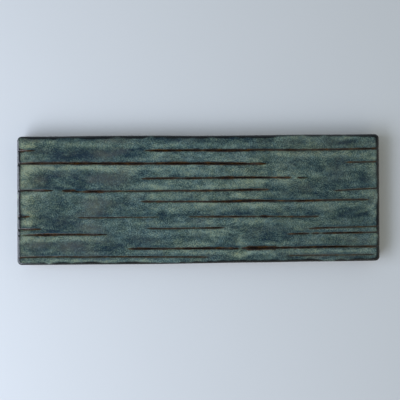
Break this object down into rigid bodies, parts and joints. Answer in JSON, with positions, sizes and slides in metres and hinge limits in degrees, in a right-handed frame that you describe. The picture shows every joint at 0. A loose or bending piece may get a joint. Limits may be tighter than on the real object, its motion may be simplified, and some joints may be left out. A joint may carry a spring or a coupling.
{
  "type": "glazed ceramic wall tile",
  "caption": "Long rectangular ceramic tile with a mottled blue-green glaze, level scored lines across its face and a keyed unglazed back.",
  "frame": {"origin": "middle of the tile's back, on the plane that beds on the wall and that the tile lies on", "axes": "+X along the tile's length, +Y across its width, +Z out of the glazed face"},
  "size_m": [0.1968, 0.0698, 0.0095],
  "materials": {
    "glazed_stoneware": "satin"
  },
  "bodies": {
    "root": {"tile": "glazed_stoneware"}
  },
  "joints": []
}
